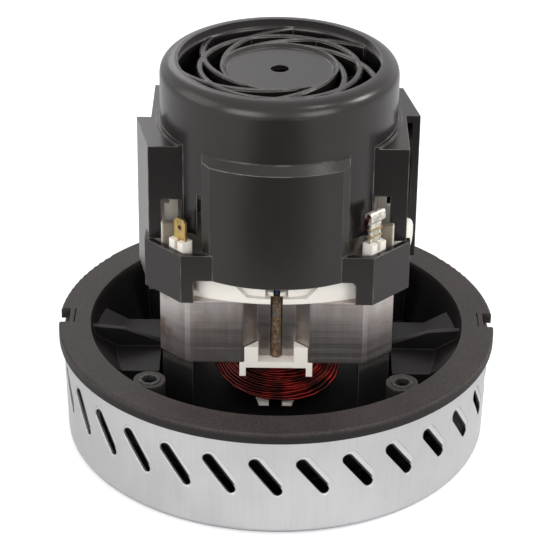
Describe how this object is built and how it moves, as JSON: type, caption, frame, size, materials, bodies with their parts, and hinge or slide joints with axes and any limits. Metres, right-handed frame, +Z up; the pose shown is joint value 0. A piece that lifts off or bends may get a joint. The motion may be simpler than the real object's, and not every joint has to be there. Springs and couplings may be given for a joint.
{
  "type": "vacuum_motor",
  "caption": "Bypass vacuum cleaner motor with a slotted aluminium fan casing, black motor bracket, laminated stator with red field coils, white brush frame and a black cover with a swirl grille.",
  "frame": {"origin": "On the shaft axis, in the plane that the flat foot of the fan casing stands on.", "axes": "+Z is up along the shaft, from the fan casing to the grille. The terminals face -Y (front) and +Y. The brushes lie near the X axis, and +X is to the right as seen from the front."},
  "size_m": [0.1348, 0.135, 0.1239],
  "materials": {
    "casing_aluminium": "drawn sheet",
    "bracket_black": "moulded",
    "cover_black": "satin",
    "frame_white": "moulded",
    "lamination_steel": "stacked sheets",
    "wire_enamel": "enamelled copper",
    "steel_bright": "ground",
    "screw_brown": "passivated",
    "brass": "pressed",
    "tinned": "tin plated",
    "copper": "turned",
    "carbon": "pressed carbon",
    "fan_plastic": "moulded"
  },
  "bodies": {
    "motor_body": {"fan_casing": "casing_aluminium", "motor_bracket": "bracket_black", "mount_inserts": "steel_bright", "lower_bearing_outer_race": "steel_bright", "upper_bearing_outer_race": "steel_bright", "stator_core": "lamination_steel", "field_coil_front": "wire_enamel", "field_coil_back": "wire_enamel", "coil_former_front": "frame_white", "coil_former_back": "frame_white", "upper_end_frame": "frame_white", "clamp_screws": "screw_brown", "stator_bolts": "steel_bright", "tab_terminals": "brass", "crimp_terminals": "tinned", "top_cover": "cover_black", "brush_tube_left": "brass", "brush_tube_right": "brass", "brush_spring_left": "steel_bright", "brush_spring_right": "steel_bright", "brush_cap_left": "frame_white", "brush_cap_right": "frame_white"},
    "rotor": {"shaft": "steel_bright", "armature_core": "lamination_steel", "armature_winding": "wire_enamel", "commutator": "copper", "lower_bearing_inner_race": "steel_bright", "upper_bearing_inner_race": "steel_bright", "impeller_front_plate": "casing_aluminium", "impeller_back_plate": "casing_aluminium", "impeller_blades": "casing_aluminium", "impeller_spacer": "steel_bright", "impeller_washer": "steel_bright", "shaft_nut": "steel_bright", "cooling_fan": "fan_plastic", "fan_clip": "steel_bright"},
    "lower_balls": {"lower_bearing_balls": "steel_bright", "lower_bearing_cage": "fan_plastic"},
    "upper_balls": {"upper_bearing_balls": "steel_bright", "upper_bearing_cage": "fan_plastic"},
    "brush_right": {"carbon_brush_right": "carbon"},
    "brush_left": {"carbon_brush_left": "carbon"}
  },
  "joints": [
    {"name": "rotor_spin", "type": "hinge", "parent": "motor_body", "child": "rotor", "pos_m": [0, 0, 0.06], "axis": [0, 0, 1], "continuous": true},
    {"name": "lower_balls_roll", "type": "hinge", "parent": "motor_body", "child": "lower_balls", "pos_m": [0, 0, 0.0219], "axis": [0, 0, 1], "continuous": true},
    {"name": "upper_balls_roll", "type": "hinge", "parent": "motor_body", "child": "upper_balls", "pos_m": [0, 0, 0.087], "axis": [0, 0, 1], "continuous": true},
    {"name": "brush_right_slide", "type": "slide", "parent": "motor_body", "child": "brush_right", "axis": [0.9744, -0.225, 0], "range_m": [0, 0.004], "stiffness_N_per_m": 300, "springref_m": -0.01, "deforming": ["brush_spring_right"]},
    {"name": "brush_left_slide", "type": "slide", "parent": "motor_body", "child": "brush_left", "axis": [-0.9744, 0.225, 0], "range_m": [0, 0.004], "stiffness_N_per_m": 300, "springref_m": -0.01, "deforming": ["brush_spring_left"]}
  ],
  "couplings": [
    {"joint": "lower_balls_roll", "follows": "rotor_spin", "ratio": 0.3535},
    {"joint": "upper_balls_roll", "follows": "rotor_spin", "ratio": 0.3551}
  ]
}
